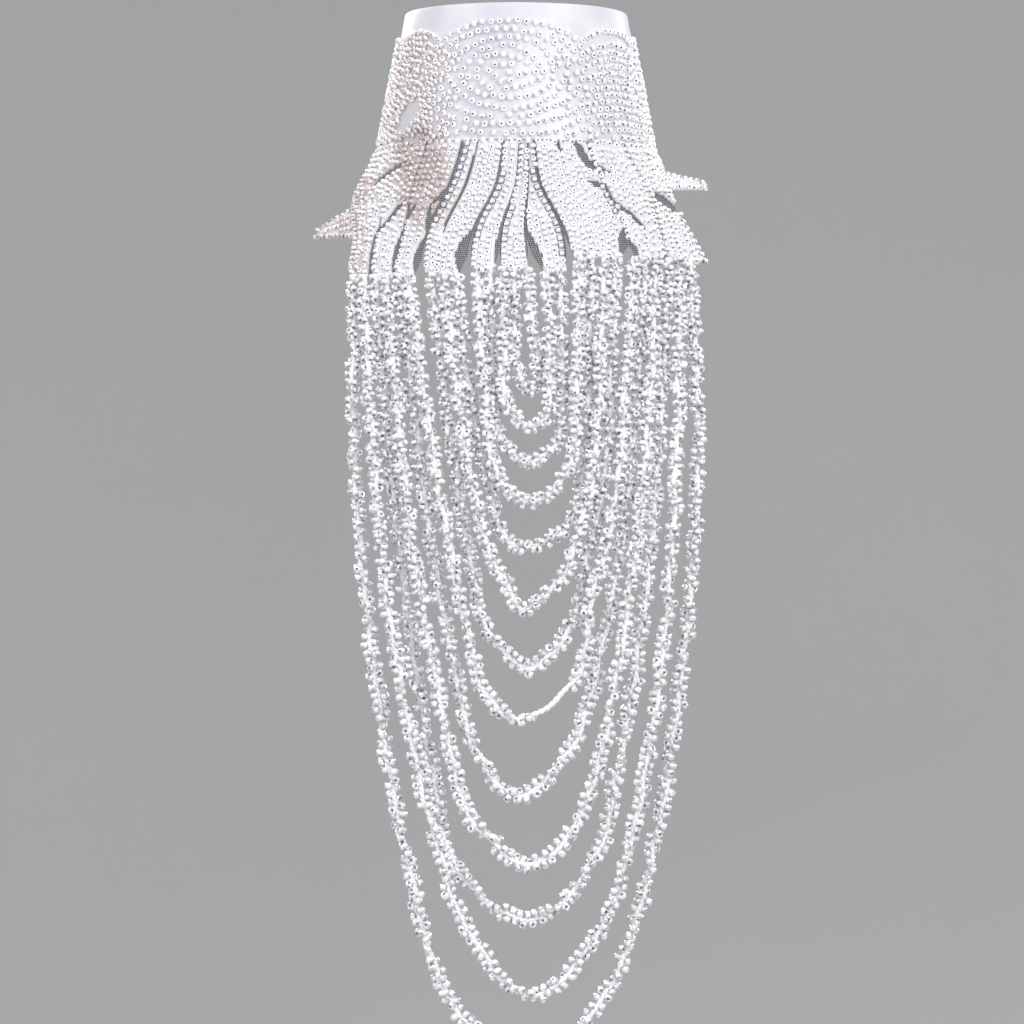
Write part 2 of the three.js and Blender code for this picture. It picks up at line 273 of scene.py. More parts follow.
class Nodes:
    """A short way to place and link shader nodes."""

    def __init__(self, tree):
        self.tree = tree

    def plug(self, socket, value):
        if isinstance(value, bpy.types.NodeSocket):
            self.tree.links.new(value, socket)
        elif socket.type == "RGBA":
            socket.default_value = (*value, 1)
        else:
            socket.default_value = value

    def add(self, kind, values=None, **inputs):
        node = self.tree.nodes.new(kind)
        for name, value in (values or {}).items():
            setattr(node, name, value)
        for name, value in inputs.items():
            self.plug(node.inputs[name.replace("_", " ")], value)
        return node

    def math(self, operation, *values):
        node = self.add("ShaderNodeMath", {"operation": operation})
        for socket, value in zip(node.inputs, values):
            self.plug(socket, value)
        return node.outputs[0]

    def ramp(self, factor, stops):
        """A colour ramp with stops (place, colour)."""
        node = self.add("ShaderNodeValToRGB", Fac=factor)
        band = node.color_ramp.elements
        while len(band) < len(stops):
            band.new(0.5)
        for element, (place, colour) in zip(band, stops):
            element.position = place
            element.color = (*colour, 1)
        return node.outputs["Color"]

    def mix(self, factor, first, second):
        node = self.add("ShaderNodeMix", {"data_type": "RGBA"})
        self.plug(node.inputs[0], factor)
        self.plug(node.inputs[6], first)
        self.plug(node.inputs[7], second)
        return node.outputs[2]

    def between(self, value, start, end):
        """0 below start and 1 above end; the other way round where end is the lower."""
        low, high = sorted((start, end))
        node = self.add("ShaderNodeMapRange", Value=value, From_Min=low, From_Max=high)
        self.plug(node.inputs["To Min"], float(end < start))
        self.plug(node.inputs["To Max"], float(end > start))
        return node.outputs["Result"]

    def attribute(self, name):
        return self.add("ShaderNodeAttribute", {"attribute_name": name}).outputs["Fac"]

    def uv(self, name):
        return self.add("ShaderNodeUVMap", {"uv_map": name}).outputs["UV"]

    def group(self, tree, **inputs):
        return self.add("ShaderNodeGroup", {"node_tree": tree}, **inputs).outputs

    def bump(self, height, distance, strength=1.0):
        node = self.add("ShaderNodeBump", Height=height, Distance=distance, Strength=strength)
        return node.outputs["Normal"]


def new_material(name, **settings):
    """A material with one Principled shader, whose plain sockets are set here."""
    material = bpy.data.materials.new(name)
    material.use_nodes = True
    shader = material.node_tree.nodes["Principled BSDF"]
    for socket, value in settings.items():
        shader.inputs[socket.replace("_", " ")].default_value = value
    return material, Nodes(material.node_tree), shader


def new_group(name, inputs, outputs):
    """A shader node group with named sockets: its nodes, what it is given and what it gives."""
    tree = bpy.data.node_groups.new(name, "ShaderNodeTree")
    for way, sockets in (("INPUT", inputs), ("OUTPUT", outputs)):
        for word, kind in sockets.items():
            tree.interface.new_socket(word, in_out=way, socket_type=kind)
    nodes = Nodes(tree)
    return nodes, nodes.add("NodeGroupInput").outputs, nodes.add("NodeGroupOutput").inputs


def grey(value):
    return (value, value, value)


NUMBER, COLOUR = "NodeSocketFloat", "NodeSocketColor"

# How fine the painted dark refraction streaks are round a bead, from hole to hole and from one bead to
# the next, and the noise at which they begin and are full. A bead's hole is counted from its pole.
REFRACTION_STREAKS = {"round": 6.0, "along": 2.4, "per_bead": 61.0, "begins": 0.55, "full": 0.36}
HOLE = {"edge": 0.17, "inside": 0.12}
BEAD_ROUGHNESS = {"least": 0.10, "spread": 0.14}
# The tints that warmth mixes into the body. At half warmth comes a blush, which is random tone on strand
# beads and painted warm reflection in the warm patches. At full warmth comes the whole painted warm
# reflection.
BLUSH_TONE_AND_REFLECTION = (0.96, 0.89, 0.865)
WARM_REFLECTION_TINT = (0.57, 0.49, 0.485)
# The painted shade in a bead's hole where warmth is given.
WARM_HOLE_SHADE = (0.32, 0.26, 0.26)


def make_mottle_group():
    """Two tones mixed by a fine noise, which is given out as a height too."""
    nodes, given, gives = new_group(
        "mottle", {"Scale": NUMBER, "Dark": COLOUR, "Pale": COLOUR}, {"Tone": COLOUR, "Height": NUMBER}
    )
    place = nodes.add("ShaderNodeTexCoord").outputs["Object"]
    noise = nodes.add("ShaderNodeTexNoise", Vector=place, Scale=given["Scale"], Detail=3.0).outputs["Fac"]
    nodes.plug(gives["Tone"], nodes.mix(nodes.between(noise, 0.35, 0.65), given["Dark"], given["Pale"]))
    nodes.plug(gives["Height"], noise)
    return nodes.tree


def make_lined_glass_group():
    """Silver-lined glass: a pale body with streaks of painted dark refraction and painted shade in its
    hole.
    """
    nodes, given, gives = new_group(
        "lined_glass", {"Body": COLOUR, "Streak": COLOUR, "Streaks": NUMBER, "Hole": COLOUR},
        {"Tone": COLOUR, "Roughness": NUMBER},
    )
    parts = nodes.add("ShaderNodeSeparateXYZ", Vector=nodes.uv("bead")).outputs
    tone = nodes.attribute("tone")
    spot = nodes.add(
        "ShaderNodeCombineXYZ",
        X=nodes.math("MULTIPLY", parts["X"], REFRACTION_STREAKS["round"]),
        Y=nodes.math("MULTIPLY", parts["Y"], REFRACTION_STREAKS["along"]),
        Z=nodes.math("MULTIPLY", tone, REFRACTION_STREAKS["per_bead"]),
    )
    refraction_noise = nodes.add("ShaderNodeTexNoise", Vector=spot.outputs[0], Scale=1.0, Detail=2.0)
    dark = nodes.between(refraction_noise.outputs["Fac"], REFRACTION_STREAKS["begins"], REFRACTION_STREAKS["full"])
    warmth = nodes.attribute("warmth")
    # Warmth tints the body with the painted warm reflection in the warm patches, and with a little random
    # blush on strand beads.
    pale = nodes.mix(nodes.between(warmth, 0.0, 0.5), given["Body"], BLUSH_TONE_AND_REFLECTION)
    pale = nodes.mix(nodes.between(warmth, 0.5, 1.0), pale, WARM_REFLECTION_TINT)
    # The hole gets painted shade, lighter and warmer where warmth is given.
    hole_shade_tone = nodes.mix(nodes.math("MULTIPLY", warmth, 2.0), given["Hole"], WARM_HOLE_SHADE)
    streaked = nodes.mix(nodes.math("MULTIPLY", dark, given["Streaks"]), pale, given["Streak"])
    hole = nodes.between(nodes.math("PINGPONG", parts["Y"], 0.5), HOLE["edge"], HOLE["inside"])
    roughness = nodes.math("MULTIPLY_ADD", tone, BEAD_ROUGHNESS["spread"], BEAD_ROUGHNESS["least"])
    nodes.plug(gives["Tone"], nodes.mix(hole, streaked, hole_shade_tone))
    nodes.plug(gives["Roughness"], roughness)
    return nodes.tree


# streak is the colour of the painted dark refraction and streaks its strength; hole is the colour of the
# painted shade in a bead's hole.
def bead_glass(name, lined_glass, body, streak, streaks, hole, **settings):
    material, nodes, shader = new_material(name, Coat_Weight=1.0, **settings)
    glass = nodes.group(lined_glass, Body=body, Streak=streak, Streaks=streaks, Hole=hole)
    nodes.plug(shader.inputs["Base Color"], glass["Tone"])
    nodes.plug(shader.inputs["Roughness"], glass["Roughness"])
    return material


def mottled(name, mottle, scale, dark, pale, bump=None, **settings):
    """A finish of two mixed tones, with a fine bump of so many metres where it is given."""
    material, nodes, shader = new_material(name, **settings)
    grain = nodes.group(mottle, Scale=scale, Dark=dark, Pale=pale)
    nodes.plug(shader.inputs["Base Color"], grain["Tone"])
    if bump:
        nodes.plug(shader.inputs["Normal"], nodes.bump(grain["Height"], bump))
    return material


def make_satin(mottle):
    """A glossy weave: fine ribs that run round the neck, and soft clouds of tone."""
    material, nodes, shader = new_material("satin", Roughness=0.36, Sheen_Weight=0.2)
    clouds = nodes.group(mottle, Scale=45.0, Dark=(0.64, 0.63, 0.70), Pale=(0.76, 0.75, 0.80))
    ribs = nodes.add(
        "ShaderNodeTexWave", {"bands_direction": "Y"}, Vector=nodes.uv("cloth"), Scale=1.3, Distortion=0.6
    )
    nodes.plug(shader.inputs["Base Color"], clouds["Tone"])
    nodes.plug(shader.inputs["Normal"], nodes.bump(ribs.outputs["Fac"], 0.00003, 0.5))
    return material


NET_THREAD = 0.2  # the share of a cell, from its edge inwards, that is thread


def make_tulle(mottle):
    """Fine net: dark threads round small cells, with nothing between them."""
    material, nodes, shader = new_material("tulle", Roughness=0.7)
    cells = nodes.add(
        "ShaderNodeTexVoronoi", {"feature": "DISTANCE_TO_EDGE"}, Vector=nodes.uv("cloth"), Scale=1.1,
        Randomness=0.25,
    )
    thread = nodes.group(mottle, Scale=900.0, Dark=(0.05, 0.05, 0.06), Pale=(0.12, 0.12, 0.14))
    nodes.plug(shader.inputs["Base Color"], thread["Tone"])
    nodes.plug(shader.inputs["Alpha"], nodes.math("LESS_THAN", cells.outputs["Distance"], NET_THREAD))
    return material


def make_embroidery(mottle):
    """Close rows of white thread, sewn down side by side."""
    material, nodes, shader = new_material("couched_thread", Roughness=0.5)
    rows = nodes.add(
        "ShaderNodeTexWave", {"bands_direction": "X"}, Vector=nodes.uv("cloth"), Scale=0.28,
        Distortion=1.6, Detail=2.0, Detail_Scale=1.5,
    )
    fibre = nodes.group(mottle, Scale=1500.0)["Height"]
    height = nodes.math("MULTIPLY_ADD", fibre, 0.35, rows.outputs["Fac"])
    # The tone follows the height: partly random fibre tone, partly painted shade in the grooves between
    # the rows.
    tone = nodes.ramp(height, [(0.15, (0.54, 0.53, 0.60)), (0.6, (0.88, 0.88, 0.91))])
    # Warmth tints the thread with the same painted warm reflection as the beads.
    tone = nodes.mix(nodes.math("MULTIPLY", nodes.attribute("warmth"), 0.7), tone, WARM_REFLECTION_TINT)
    nodes.plug(shader.inputs["Base Color"], tone)
    nodes.plug(shader.inputs["Normal"], nodes.bump(height, 0.0003, 0.7))
    return material


def make_stone():
    """A cut stone whose tone differs from one to the next."""
    material, nodes, shader = new_material(
        "cut_stone", Roughness=0.05, Metallic=0.5, Coat_Weight=1.0, Coat_Roughness=0.02
    )
    colour = nodes.ramp(nodes.attribute("tone"), [(0.0, (0.72, 0.74, 0.88)), (1.0, (0.97, 0.97, 1))])
    nodes.plug(shader.inputs["Base Color"], colour)
    return material


def make_materials():
    mottle, glass = make_mottle_group(), make_lined_glass_group()
    metal = {"Metallic": 1.0}
    return {
        # Streak is painted dark refraction and hole is painted shade in the bead's hole.
        "collar_bead": bead_glass(
            "collar_bead_glass", glass, body=(0.98, 0.98, 0.99), streak=(0.66, 0.65, 0.71),
            streaks=0.25, hole=(0.03, 0.03, 0.04), Metallic=0.1, Coat_Roughness=0.04,
        ),
        "strand_bead": bead_glass(
            "strand_bead_glass", glass, body=(0.96, 0.96, 0.98), streak=(0.22, 0.22, 0.28),
            streaks=0.65, hole=(0.19, 0.19, 0.23), Metallic=0.3, Coat_Roughness=0.03,
        ),
        "satin": make_satin(mottle),
        "tulle": make_tulle(mottle),
        "stone": make_stone(),
        "thread": mottled(
            "thread", mottle, 2400.0, (0.84, 0.84, 0.88), (0.97, 0.97, 0.98), bump=0.0001, Roughness=0.6
        ),
        "ground": make_embroidery(mottle),
        "cup": mottled("cup_metal", mottle, 700.0, grey(0.30), grey(0.50), Roughness=0.25, **metal),
        "metal": mottled("clasp_metal", mottle, 500.0, grey(0.22), grey(0.32), Roughness=0.38, **metal),
        "paper": mottled("backdrop", mottle, 0.8, grey(0.50), grey(0.52), Roughness=0.9),
    }


# ------------------------------------------------------------------ small shapes and joined meshes


def shape_of(bm):
    """A bmesh's points, faces and UVs as arrays, kept apart by how many corners a face has."""
    bm.verts.index_update()
    uv = bm.loops.layers.uv.verify()
    shape = {"points": np.array([v.co[:] for v in bm.verts]), "faces": {}}
    for corners in (3, 4):
        faces = [f for f in bm.faces if len(f.loops) == corners]
        shape["faces"][corners] = (
            np.array([[loop.vert.index for loop in f.loops] for f in faces]).reshape(-1, corners),
            np.array([[loop[uv].uv[:] for loop in f.loops] for f in faces]).reshape(-1, corners, 2),
        )
    bm.free()
    return shape


def spun(outline, steps):
    """A bmesh spun round Z from an outline of (radius, height)."""
    bm = bmesh.new()
    corners = [bm.verts.new((radius, 0, height)) for radius, height in outline]
    edges = [bm.edges.new(pair) for pair in zip(corners, corners[1:])]
    bmesh.ops.spin(
        bm, geom=corners + edges, cent=(0, 0, 0), axis=(0, 0, 1), angle=2 * math.pi, steps=steps,
        use_merge=True,
    )
    bmesh.ops.remove_doubles(bm, verts=bm.verts, dist=1e-5)
    bmesh.ops.recalc_face_normals(bm, faces=bm.faces)
    return bm


# Half the outline of a bead one across, from the hole to its waist: radius and height.
BEAD_OUTLINE = [(0, 0.10), (0.17, 0.27), (0.34, 0.34), (0.49, 0.13)]


def bead_shape(sides):
    """A rocaille with its hole along Z, closed a little way in. V runs from pole to pole."""
    outline = BEAD_OUTLINE + [(r, -z) for r, z in reversed(BEAD_OUTLINE)]
    bm = spun(outline, sides)
    uv = bm.loops.layers.uv.verify()
    for face in bm.faces:
        middle = face.calc_center_median()
        face_turn = math.atan2(middle.y, middle.x)
        for loop in face.loops:
            x, y, z = loop.vert.co
            radius = math.hypot(x, y)
            ring = min(range(len(outline)), key=lambda i: math.dist(outline[i], (radius, z)))
            turn = math.atan2(y, x) if radius > 1e-4 else face_turn
            turn += 2 * math.pi * round((face_turn - turn) / (2 * math.pi))
            loop[uv].uv = (turn / (2 * math.pi) + 0.5, ring / (len(outline) - 1))
    return shape_of(bm)


def square_cut(lower, upper, foot, depth):
    """A four-sided cup or stone, one across, whose foot is at a height over the XY plane."""
    bm = bmesh.new()
    bmesh.ops.create_cone(bm, cap_ends=True, segments=4, radius1=lower, radius2=upper, depth=depth)
    bmesh.ops.rotate(bm, verts=bm.verts, cent=(0, 0, 0), matrix=Matrix.Rotation(math.pi / 4, 3, "Z"))
    bmesh.ops.translate(bm, verts=bm.verts, vec=(0, 0, foot + depth / 2))
    uv = bm.loops.layers.uv.verify()
    for face in bm.faces:
        for loop in face.loops:
            loop[uv].uv = (loop.vert.co.x + 0.5, loop.vert.co.y + 0.5)
    return shape_of(bm)


class Joined:
    """Copies of small shapes, joined into one mesh with a tone and a warmth for each copy."""

    def __init__(self):
        self.points, self.tone, self.warmth, self.count = [], [], [], 0
        self.faces, self.uvs, self.finish = {3: [], 4: []}, {3: [], 4: []}, {3: [], 4: []}

    def add(self, shape, turns, places, sizes, finish, tone, warmth):
        """turns is (k, 3, 3), places (k, 3) and sizes (k, 3) or (k, 1)."""
        k, n = len(places), len(shape["points"])
        if not k:
            return
        scaled = shape["points"][None] * np.broadcast_to(sizes, (k, 3))[:, None]
        self.points.append((np.einsum("kij,knj->kni", turns, scaled) + places[:, None]).reshape(-1, 3))
        starts = self.count + n * np.arange(k)
        for corners, (faces, uvs) in shape["faces"].items():
            self.faces[corners].append((faces[None] + starts[:, None, None]).reshape(-1, corners))
            self.uvs[corners].append(np.tile(uvs, (k, 1, 1)).reshape(-1, 2))
            self.finish[corners].append(np.full(k * len(faces), finish))
        self.tone.append(np.repeat(np.broadcast_to(tone, k), n))
        self.warmth.append(np.repeat(np.broadcast_to(warmth, k), n))
        self.count += k * n

    def make(self, name, materials):
        mesh = bpy.data.meshes.new(name)
        faces = [row for c in (3, 4) for part in self.faces[c] for row in part.tolist()]
        mesh.from_pydata((np.vstack(self.points) * MM).tolist(), [], faces)
        uvs = np.vstack([part for c in (3, 4) for part in self.uvs[c]])
        mesh.uv_layers.new(name="bead").uv.foreach_set("vector", uvs.astype(np.float32).ravel())
        finish = np.concatenate([part for c in (3, 4) for part in self.finish[c]])
        mesh.polygons.foreach_set("material_index", finish.astype(np.int32))
        for word, values in (("tone", self.tone), ("warmth", self.warmth)):
            layer = mesh.attributes.new(word, "FLOAT", "POINT")
            layer.data.foreach_set("value", np.concatenate(values).astype(np.float32))
        mesh.shade_smooth()
        for material in materials:
            mesh.materials.append(material)
        return new_object(name, mesh)


def new_object(name, mesh):
    made = bpy.data.objects.new(name, mesh)
    bpy.context.scene.collection.objects.link(made)
    return made


def finished(bm, name, material):
    """A bmesh made a smooth object with one material."""
    mesh = bpy.data.meshes.new(name)
    bm.to_mesh(mesh)
    bm.free()
    mesh.shade_smooth()
    mesh.materials.append(material)
    return new_object(name, mesh)


def joined_objects(name, objects):
    """Several mesh objects made one."""
    first = objects[0]
    with bpy.context.temp_override(active_object=first, selected_editable_objects=objects):
        bpy.ops.object.join()
    first.name = first.data.name = name
    return first


def bent_sheet(name, columns, rows, place, size, material, thickness=0.0, bare=None):
    """A flat grid bent into shape. place turns how far along and up it a point is into
    millimetres; size is the flat cloth's width and height; bare says which faces to leave out."""
    bm = bmesh.new()
    uv = bm.loops.layers.uv.new("cloth")
    bmesh.ops.create_grid(bm, x_segments=columns, y_segments=rows, size=0.5)
    flat = np.array([v.co[:2] for v in bm.verts]) + 0.5
    bm.verts.index_update()
    gone = []
    if bare:
        middles = np.array([f.calc_center_median()[:2] for f in bm.faces]) + 0.5
        gone = [f for f, out in zip(bm.faces, bare(*middles.T)) if out]
    for face in bm.faces:
        for loop in face.loops:
            loop[uv].uv = flat[loop.vert.index] * size
    for vert, spot in zip(bm.verts, place(flat[:, 0], flat[:, 1]) * MM):
        vert.co = spot
    bmesh.ops.delete(bm, geom=gone, context="FACES")
    if thickness:
        bmesh.ops.solidify(bm, geom=bm.faces, thickness=thickness * MM)
    return finished(bm, name, material)


def tube_object(name, paths, radius, material):
    """Round threads along paths in millimetres, as one mesh."""
    curve = bpy.data.curves.new(name, "CURVE")
    curve.dimensions = "3D"
    curve.bevel_mode = "ROUND"
    curve.bevel_depth = radius * MM
    curve.bevel_resolution = 1
    curve.use_fill_caps = True
    for path in paths:
        spline = curve.splines.new("POLY")
        spline.points.add(len(path) - 1)
        spline.points.foreach_set("co", np.hstack([path * MM, np.ones((len(path), 1))]).ravel())
        spline.use_smooth = True
    source = new_object(name, curve)
    mesh = bpy.data.meshes.new_from_object(source.evaluated_get(bpy.context.evaluated_depsgraph_get()))
    bpy.data.objects.remove(source)
    bpy.data.curves.remove(curve)
    mesh.name = name
    mesh.materials.clear()
    mesh.materials.append(material)
    mesh.shade_smooth()
    return new_object(name, mesh)


def settle(piece, node):
    """Hangs a finished piece from the root and hides the part of the model that it takes the place of."""
    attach(piece, "root")
    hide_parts(node)


# ------------------------------------------------------------------ where beads may sit


class Crowd:
    """Where beads already sit, so that a new one finds room."""

    CELL = 4.0
    AROUND = [(i, j, k) for i in (-1, 0, 1) for j in (-1, 0, 1) for k in (-1, 0, 1)]

    def __init__(self):
        self.cells = {}

    def cell(self, spot):
        return tuple(int(v // self.CELL) for v in spot)

    def room(self, spot, radius, owner=None):
        """Whether a ball fits, where its owner's own balls don't count."""
        x, y, z = (float(v) for v in spot)
        a, b, c = self.cell(spot)
        for i, j, k in self.AROUND:
            for u, v, w, other, whose in self.cells.get((a + i, b + j, c + k), ()):
                if (x - u) ** 2 + (y - v) ** 2 + (z - w) ** 2 < (radius + other) ** 2:
                    if whose is None or whose != owner:
                        return False
        return True

    def add(self, spot, radius, owner=None):
        self.cells.setdefault(self.cell(spot), []).append((*map(float, spot), radius, owner))


def turned(axis, other, spin):
    """Turns whose Z runs along each axis; other fixes the roll before spin is added."""
    z = unit(axis)
    x = unit(other - (other * z).sum(-1, keepdims=True) * z)
    y = np.cross(z, x)
    c, s = np.cos(spin)[:, None], np.sin(spin)[:, None]
    return np.stack([x * c + y * s, y * c - x * s, z], axis=-1)


def turned_anyhow(axes, random):
    """Turns whose Z runs along each axis, with any roll."""
    return turned(axes, np.roll(axes, 1, axis=1) + 0.01, random.uniform(0, 6.28, len(axes)))


WARMTH_FADE = 8  # the width of the edge of a warm patch

# Where a painted warm reflection tints the glass and the ground under it: within reach of a line between
# two places across and up.
WARM_REFLECTION_PATCHES = [
    {"from": (-48, 42), "to": (-48, 6), "reach": 22, "warmth": 0.45},
    {"from": (-42, -3), "to": (-39, -26), "reach": 16, "warmth": 1.0},
    {"from": (-66, -16), "to": (-73, -34), "reach": 9, "warmth": 0.95},
    {"from": (-87, -38), "to": (-73, -34), "reach": 12, "warmth": 1.0},
    {"from": (-69, -40), "to": (-68, -62), "reach": 7, "warmth": 0.95},
]


def warmth_at(spots):
    warmth = np.zeros(len(spots))
    for row in WARM_REFLECTION_PATCHES:
        start, end = np.array(row["from"]), np.array(row["to"])
        run, off = end - start, spots[:, [0, 2]] - start
        off = off - np.clip(off @ run / (run @ run), 0, 1)[:, None] * run
        near = np.clip((row["reach"] - np.linalg.norm(off, axis=1)) / WARMTH_FADE, 0, 1)
        warmth = np.maximum(warmth, near * row["warmth"])
    return warmth


class Sowing:
    """Beads laid one by one along rows, each where it finds room."""

    FLATTENED = 0.7  # the share of a bead's stray off the cloth that is taken back
    TILT = 0.25  # how far its axis tips
    LEAST, SPREAD = 0.94, 0.12  # the smallest bead for its diameter, and how sizes spread above it
    STRETCH = 1.25  # how much longer a bead that lies along the row may be
    CLOSER = 0.87  # how much closer beads that fill gaps may sit
    STAGGER = 8  # a row begins at one of so many first points, so that rows don't line up
    WARMTHS = (0.6, 1.2)  # how a bead's warmth differs from its place's

    def __init__(self, name, crowd):
        self.random = dice(name)
        self.crowd = crowd
        self.spots, self.axes, self.sizes = [], [], []

    def row(self, path, normals, bead):
        """Beads along a path. Room is how far apart they stay, stray how far off the path they
        lie, and outward the share whose hole faces out; the others lie along the row."""
        count = len(path)
        runs = unit(np.gradient(path, axis=0)) if count > 1 else np.cross(normals, (0, 0, 1.0))
        drift = self.random.normal(0, bead["stray"], (count, 3))
        drift -= self.FLATTENED * (drift * normals).sum(1, keepdims=True) * normals
        tilt = self.random.normal(0, self.TILT, (count, 3))
        picks = self.random.random((count, 2))
        for i in range(self.random.integers(min(self.STAGGER, count)), count):
            spot = path[i] + drift[i]
            if not self.crowd.room(spot, bead["room"] / 2):
                continue
            self.crowd.add(spot, bead["room"] / 2)
            faces_out = picks[i, 0] < bead["outward"]
            self.spots.append(spot)
            self.axes.append((normals[i] if faces_out else runs[i]) + tilt[i])
            size = bead["diameter"] * (self.LEAST + self.SPREAD * picks[i, 1])
            length = size if faces_out else min(self.STRETCH * size, bead["room"])
            self.sizes.append((size, size, length))

    def fill(self, path, normals, bead):
        """Beads at separate spots, taken in turn and a little closer."""
        closer = {**bead, "room": self.CLOSER * bead["room"]}
        for i in range(len(path)):
            self.row(path[i : i + 1], normals[i : i + 1], closer)

    def give(self, gathered, shape):
        """Adds the beads to a joined mesh, in its first finish."""
        count = len(self.spots)
        spots = np.array(self.spots)
        turns = turned_anyhow(np.array(self.axes), self.random)
        tones = self.random.random(count)
        warmth = (warmth_at(spots) * self.random.uniform(*self.WARMTHS, count)).clip(0, 1)
        gathered.add(shape, turns, spots, np.array(self.sizes), 0, tones, warmth)


# ------------------------------------------------------------------ satin collar and clasp

HALFWAY_RADIUS = (BAND["top_radius"] + BAND["foot_radius"]) / 2
ROUND_MM = HALFWAY_RADIUS * math.pi / 180  # millimetres of satin in one degree
# The satin laid flat: its girth at half height less the slit, and the slant of its wall.
SATIN_FLAT = (2 * math.pi * HALFWAY_RADIUS - 1.2, 61.1)
SATIN_CELLS, CLASP_CELLS = (288, 24), (6, 12)  # round and up
# Slight hollows in the satin, in millimetres: how many go round, and where they start.
RIPPLES = [{"size": 0.12, "waves": 9, "start": 0.6}, {"size": 0.06, "waves": 23, "start": 2}]


def thick_and_rounded(piece, thickness, edge):
    wall = piece.modifiers.new("wall", "SOLIDIFY")
    wall.thickness = thickness * MM
    wall.offset = 0
    rounding = piece.modifiers.new("rounded edges", "BEVEL")
    rounding.width = edge * MM
    rounding.segments = 3
    rounding.limit_method = "ANGLE"
    rounding.angle_limit = math.radians(50)


def make_satin_band(materials):
    half = 180 - BAND["slit_turn"]

    def place(along, up):
        turn, z = (2 * along - 1) * half, up * BAND["height"]
        angle = np.radians(turn)
        ripple = sum(row["size"] * np.sin(row["waves"] * angle + row["start"]) for row in RIPPLES)
        inset = BAND["wall"] / 2 - np.sin(np.pi * up) * ripple
        return round_neck(turn, band_radius(z) - inset, z)

    piece = bent_sheet("satin_collar", *SATIN_CELLS, place, SATIN_FLAT, materials["satin"])
    thick_and_rounded(piece, BAND["wall"], edge=0.55)
    settle(piece, "satin_band")


def make_clasp(materials):
    foot = (BAND["height"] - CLASP["height"]) / 2

    def place(along, up):
        turn, z = 180 + (2 * along - 1) * CLASP["turn"], foot + up * CLASP["height"]
        return round_neck(turn, band_radius(z) + CLASP["gap"] + CLASP["thickness"] / 2, z)

    size = (2 * CLASP["turn"] * ROUND_MM, CLASP["height"])
    piece = bent_sheet("slide_clasp", *CLASP_CELLS, place, size, materials["metal"])
    thick_and_rounded(piece, CLASP["thickness"], edge=0.7)
    settle(piece, "back_clasp")


# ------------------------------------------------------------------ bead scrolls on the collar

# The outline of the beads: each scallop's middle, half width, foot and rise, as in the part.
SCALLOPS = [
    {"turn": -84, "half": 34, "foot": 1, "rise": 49},
    {"turn": -54, "half": 17, "foot": 42, "rise": 8.5},
    {"turn": -3, "half": 34.5, "foot": 42, "rise": 11.5},
    {"turn": 54, "half": 22, "foot": 42, "rise": 9},
    {"turn": 84, "half": 34, "foot": 1, "rise": 49},
]
COLLAR_BEAD_LIFT = 0.8
EMBROIDERY_TURN = 118  # how far round the outer rows run, to each side
OUTLINE_LEAST = 3.0  # the outline's height where no scallop rises over it
OUTER_ROW_INSET = 1.4  # from the scalloped outline to the outer row
ROW_STEP = {"mm": 0.28, "degrees": 0.3, "radians": 0.01}  # between the points of a row
SCATTER = {"turn": 117, "up": (1, 54), "tries": 14000}  # where beads fill gaps

# From the first turn to the second: how the rows run and how far apart they are, and their beads.
COLLAR_ZONES = [
    {"from": -119, "to": -37, "rows": "slanted", "row": 2.3,
     "bead": {"diameter": 2.6, "room": 2.4, "outward": 0.45, "stray": 0.24}},
    {"from": -37, "to": -26, "rows": "spiral", "row": 3.9,
     "bead": {"diameter": 2.65, "room": 2.9, "outward": 0.55, "stray": 0.26}},
    {"from": -26, "to": 29, "rows": "spiral", "row": 3.9,
     "bead": {"diameter": 2.7, "room": 3.5, "outward": 0.6, "stray": 0.26}},
    {"from": 29, "to": 119, "rows": "scalloped", "row": 3.2,
     "bead": {"diameter": 2.7, "room": 3.1, "outward": 0.7, "stray": 0.26}},
]
# In the middle the rows wind round as a spiral; elsewhere they follow the scallops.
SPIRAL = {"turn": -5, "up": 30.5, "outer_rise": 31, "stretch": 1.6, "ripple": 0.6, "ripples": 3.3}
# Two places are bare satin: a strip, by how far it lies below the outer row, and a leaf-shaped gap.
BARE_STRIP = {"from": 33, "to": 84, "top": 1, "bottom": 5.5}
BARE_LEAF = {"turn": -53.5, "up": 12.4, "lean": (-13.6, -14.3), "half_width": 3.7, "clear": 0.9}
SLANTED_REACH = 70  # further than any slanted row runs from the leaf
BOTTOM_ROW = -0.2  # its beads hide the joint with the yoke
OUTSIDE = {"top": 0.6, "bottom": 0.5}  # how far past the outer and the bottom row beads may sit


def scallop_height(turn):
    heights = np.full(np.shape(turn), OUTLINE_LEAST)
    for row in SCALLOPS:
        off = np.clip((np.asarray(turn) - row["turn"]) / row["half"], -1, 1)
        arch = np.where(np.abs(off) < 1, row["foot"] + row["rise"] * np.sqrt(1 - off * off), 0)
        heights = np.maximum(heights, arch)
    return heights


def outer_row(turn):
    return scallop_height(turn) - OUTER_ROW_INSET


def is_bare(turn, up):
    """Whether each spot is satin that no bead covers."""
    under = outer_row(turn) - up
    strip = (turn > BARE_STRIP["from"]) & (turn < BARE_STRIP["to"])
    strip &= (under > BARE_STRIP["top"]) & (under < BARE_STRIP["bottom"])
    lean = np.array(BARE_LEAF["lean"])
    half = np.linalg.norm(lean) / 2
    x, y = (turn - BARE_LEAF["turn"]) * ROUND_MM, up - BARE_LEAF["up"]
    along = (x * lean[0] + y * lean[1]) / (2 * half * half)
    off = np.abs(x * lean[1] - y * lean[0]) / (2 * half)
    reach = BARE_LEAF["half_width"] * (1 - along * along) + BARE_LEAF["clear"]
    leaf = (np.abs(along) < 1) & (off < reach)
    return strip | leaf | (up < BOTTOM_ROW - OUTSIDE["bottom"]) | (under < -OUTSIDE["top"])


